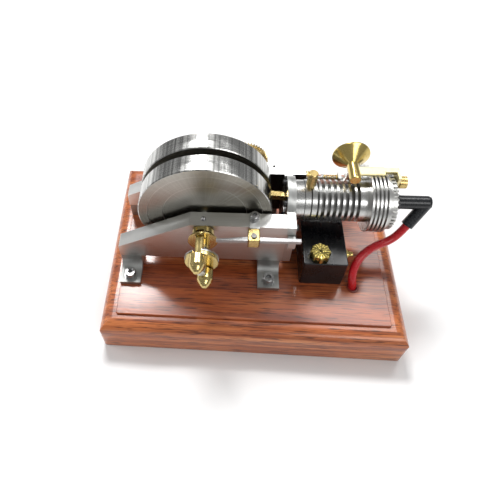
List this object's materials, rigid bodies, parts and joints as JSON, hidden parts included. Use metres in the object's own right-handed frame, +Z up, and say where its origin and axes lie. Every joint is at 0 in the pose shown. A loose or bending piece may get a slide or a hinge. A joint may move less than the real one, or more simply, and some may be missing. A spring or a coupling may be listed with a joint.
{
  "type": "hit-and-miss engine model",
  "caption": "Small horizontal four-stroke engine on a wooden base: twin flywheels, finned cylinder, flyweight governor, timing gears, fuel tank and spark lead.",
  "frame": {"origin": "centre of the underside of the wooden base", "axes": "+X along the base from the flywheel end to the cylinder head, +Y from the governor side to the timing gear side, +Z up"},
  "size_m": [0.2017, 0.138, 0.1103],
  "materials": {
    "lacquered_wood": "gloss lacquer",
    "cover_board": "matt",
    "black_plastic": "matt",
    "brushed_plate": "brushed",
    "machined_steel": "turned",
    "flywheel_steel": "turned faces and polished rim",
    "screw_steel": "satin",
    "screw_black": "black oxide",
    "yellow_brass": "polished",
    "aged_brass": "satin",
    "fin_aluminium": "machined",
    "black_tank": "semi-gloss paint",
    "boot_rubber": "matt",
    "lead_silicone": "satin",
    "porcelain_plug": "glazed",
    "spring_steel": "satin wire"
  },
  "bodies": {
    "frame": {"wood_base": "lacquered_wood", "base_cover": "cover_board", "ignition_module": "black_plastic", "lead_grommet": "black_plastic", "front_side_plate": "brushed_plate", "rear_side_plate": "brushed_plate", "cross_plate": "brushed_plate", "feet": "brushed_plate", "foot_washers": "screw_steel", "foot_screws": "screw_steel", "small_screws": "screw_black", "oil_plugs": "screw_steel", "crank_bushes": "aged_brass", "cylinder": "fin_aluminium", "cylinder_head": "fin_aluminium", "head_ring": "machined_steel", "spark_plug": "porcelain_plug", "plug_boot": "boot_rubber", "ht_lead": "lead_silicone", "fuel_tank": "black_tank", "tank_outlet": "yellow_brass", "carb_block": "yellow_brass", "carb_barrel": "yellow_brass", "bell_mouth": "yellow_brass", "oil_cup": "aged_brass", "pushrod_guide": "brushed_plate", "rocker_bracket": "brushed_plate", "hinge_pins": "screw_steel", "pushrod_spring": "aged_brass", "exhaust_spring": "spring_steel", "lever_strip": "machined_steel", "lever_block": "aged_brass", "lever_screw": "screw_steel", "latch_block": "machined_steel"},
    "crank": {"front_flywheel": "flywheel_steel", "rear_flywheel": "flywheel_steel", "crank_stubs": "machined_steel", "timing_pinion": "machined_steel", "governor_hub": "aged_brass", "governor_pins": "screw_steel", "governor_disc": "aged_brass", "governor_washer": "screw_steel", "governor_spring": "spring_steel"},
    "cam": {"cam_gear": "yellow_brass", "cam_shaft": "machined_steel"},
    "piston": {"piston": "fin_aluminium", "piston_rings": "machined_steel", "wrist_pin": "machined_steel"},
    "rod": {"connecting_rod": "aged_brass", "crank_pin": "machined_steel"},
    "weight_upper": {"governor_weight_upper": "aged_brass"},
    "weight_lower": {"governor_weight_lower": "aged_brass"},
    "spool": {"governor_spool": "aged_brass"},
    "lever": {"governor_lever": "machined_steel"},
    "pushrod": {"pushrod": "machined_steel"},
    "rocker": {"rocker_arm": "machined_steel"},
    "exhaust_valve": {"exhaust_valve": "machined_steel"},
    "needle": {"needle_screw": "aged_brass"},
    "tank_cap": {"tank_cap": "yellow_brass"},
    "oil_lid": {"oil_cup_lid": "aged_brass"}
  },
  "joints": [
    {"name": "crank_spin", "type": "hinge", "parent": "frame", "child": "crank", "pos_m": [-0.03, 0.0035, 0.0693], "axis": [0, 1, 0], "continuous": true},
    {"name": "cam_spin", "type": "hinge", "parent": "frame", "child": "cam", "pos_m": [-0.0066, 0.035, 0.0693], "axis": [0, 1, 0], "continuous": true},
    {"name": "piston_slide", "type": "slide", "parent": "frame", "child": "piston", "axis": [1, 0, 0], "range_m": [-0.0199, 0.0021]},
    {"name": "rod_swing", "type": "hinge", "parent": "piston", "child": "rod", "pos_m": [0.05437, 0.0035, 0.0693], "axis": [0, 1, 0], "range_deg": [-13.05, 3.7]},
    {"name": "upper_weight_swing", "type": "hinge", "parent": "crank", "child": "weight_upper", "pos_m": [-0.03135, -0.0279, 0.07432], "axis": [-0.9659, 0, -0.2588], "range_deg": [0, 14]},
    {"name": "lower_weight_swing", "type": "hinge", "parent": "crank", "child": "weight_lower", "pos_m": [-0.02865, -0.0279, 0.06428], "axis": [0.9659, 0, 0.2588], "range_deg": [0, 14.1]},
    {"name": "spool_slide", "type": "slide", "parent": "crank", "child": "spool", "axis": [0, -1, 0], "range_m": [0, 0.0006], "deforming": ["governor_spring"]},
    {"name": "lever_swing", "type": "hinge", "parent": "frame", "child": "lever", "pos_m": [-0.0006, -0.03, 0.0722], "axis": [0, 0, 1], "range_deg": [0, 1.6]},
    {"name": "pushrod_slide", "type": "slide", "parent": "frame", "child": "pushrod", "axis": [1, 0, 0], "range_m": [0, 0.0012], "deforming": ["pushrod_spring"]},
    {"name": "rocker_swing", "type": "hinge", "parent": "frame", "child": "rocker", "pos_m": [0.0622, 0.0245, 0.0639], "axis": [0, 0, -1], "range_deg": [0, 9.8]},
    {"name": "exhaust_valve_slide", "type": "slide", "parent": "frame", "child": "exhaust_valve", "axis": [0, -1, 0], "range_m": [0, 0.00153], "deforming": ["exhaust_spring"]},
    {"name": "needle_turn", "type": "hinge", "parent": "frame", "child": "needle", "pos_m": [0.0841, 0.008, 0.0823], "axis": [1, 0, 0], "range_deg": [0, 720]},
    {"name": "tank_cap_turn", "type": "hinge", "parent": "frame", "child": "tank_cap", "pos_m": [0.041, -0.0245, 0.0503], "axis": [0, 0, 1], "range_deg": [0, 540]},
    {"name": "oil_lid_flip", "type": "hinge", "parent": "frame", "child": "oil_lid", "pos_m": [0.0295, 0.0035, 0.09295], "axis": [0, -1, 0], "range_deg": [0, 100]}
  ],
  "couplings": [
    {"joint": "cam_spin", "follows": "crank_spin", "ratio": -0.5},
    {"joint": "lower_weight_swing", "follows": "upper_weight_swing", "ratio": 1},
    {"joint": "spool_slide", "follows": "upper_weight_swing", "m_per_rad": 0.0024},
    {"joint": "lever_swing", "follows": "upper_weight_swing", "ratio": 0.11},
    {"joint": "rocker_swing", "follows": "pushrod_slide", "rad_per_m": 141.5},
    {"joint": "exhaust_valve_slide", "follows": "pushrod_slide", "ratio": 1.268}
  ]
}
